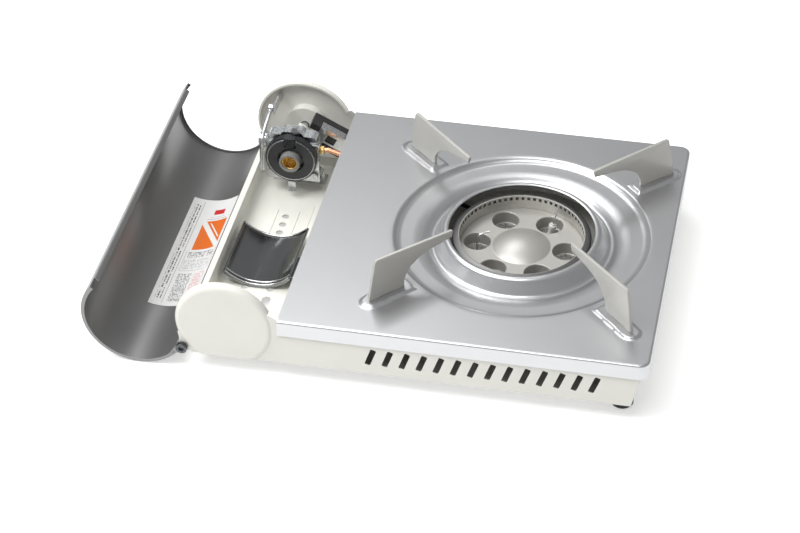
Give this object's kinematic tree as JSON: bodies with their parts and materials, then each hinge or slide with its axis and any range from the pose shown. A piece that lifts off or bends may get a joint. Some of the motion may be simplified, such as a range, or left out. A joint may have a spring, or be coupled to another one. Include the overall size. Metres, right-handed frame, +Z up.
{
  "type": "butane cassette stove",
  "caption": "Low tabletop gas stove with a square cooking plate, dished round burner, four blade pot supports and a side bay for a gas canister under a swinging half-round lid, shown open.",
  "frame": {"origin": "on the table under the middle of the stove's outline with its lid open", "axes": "+X from the canister bay towards the burner side, +Y from the rear wall towards the knob, +Z up"},
  "size_m": [0.4096, 0.278, 0.0908],
  "materials": {
    "body_cream": "satin cream enamel",
    "plate_silver": "satin silver coating",
    "support_enamel": "matte warm grey enamel",
    "burner_steel": "satin pressed steel",
    "screen_steel": "perforated steel",
    "plated_steel": "zinc plated",
    "die_cast": "bright die casting",
    "socket_grey": "turned, satin",
    "brass": "turned, polished",
    "copper": "drawn copper tube",
    "ceramic": "glazed white ceramic",
    "polished_steel": "polished steel",
    "black_magnet": "matte black magnet",
    "dark_steel": "blackened steel",
    "black_plastic": "moulded black plastic",
    "white_plastic": "moulded white plastic",
    "lead_rubber": "silicone insulated lead",
    "lid_grey": "satin grey coating",
    "label_paper": "printed film label",
    "foot_rubber": "moulded rubber"
  },
  "bodies": {
    "stove": {"base_pan": "body_cream", "rear_panel": "body_cream", "front_panel": "body_cream", "side_panel": "body_cream", "bay_partition": "body_cream", "top_plate": "plate_silver", "pot_support_near_left": "support_enamel", "pot_support_near_right": "support_enamel", "pot_support_far_left": "support_enamel", "pot_support_far_right": "support_enamel", "burner_ring": "burner_steel", "burner_cap": "burner_steel", "air_tubes": "burner_steel", "burner_screens": "screen_steel", "burner_bowl": "burner_steel", "burner_legs": "plated_steel", "mixing_tube": "plated_steel", "gas_nozzle": "brass", "gas_tube": "copper", "gas_tube_nut": "brass", "electrode_ceramic": "ceramic", "ignition_electrode": "plated_steel", "electrode_bracket": "plated_steel", "earth_wire": "plated_steel", "heat_panel": "polished_steel", "governor_bracket": "plated_steel", "governor_body": "die_cast", "diaphragm_cap": "plated_steel", "magnet_yoke": "plated_steel", "magnet_ring": "black_magnet", "guide_plate": "dark_steel", "guide_tongue": "plated_steel", "valve_socket": "socket_grey", "brass_socket": "brass", "governor_screws": "plated_steel", "igniter_bracket": "plated_steel", "piezo_igniter": "black_plastic", "ignition_lead": "lead_rubber", "lever_pin": "plated_steel", "hinge_screws": "dark_steel", "rubber_feet": "foot_rubber"},
    "lid": {"canister_lid": "lid_grey", "lid_label": "label_paper"},
    "knob": {"ignition_knob": "black_plastic", "knob_shaft": "plated_steel", "ignition_cam": "white_plastic"},
    "plunger": {"igniter_plunger": "dark_steel"},
    "lever": {"safety_lever": "die_cast"}
  },
  "joints": [
    {"name": "lid_hinge", "type": "hinge", "parent": "stove", "child": "lid", "pos_m": [-0.13062, -0.00815, 0.02068], "axis": [0, 1, 0], "range_deg": [0, 114]},
    {"name": "knob_turn", "type": "hinge", "parent": "stove", "child": "knob", "pos_m": [-0.09867, 0.12895, 0.0439], "axis": [0, 1, 0], "range_deg": [0, 100]},
    {"name": "plunger_slide", "type": "slide", "parent": "stove", "child": "plunger", "axis": [0.8862, 0, -0.4633], "range_m": [0, 0.004]},
    {"name": "safety_lever_tilt", "type": "hinge", "parent": "stove", "child": "lever", "pos_m": [-0.12137, 0.09995, 0.0668], "axis": [-1, 0, 0], "range_deg": [0, 6]}
  ],
  "couplings": [
    {"joint": "plunger_slide", "follows": "knob_turn", "m_per_rad": 0.0022918}
  ]
}
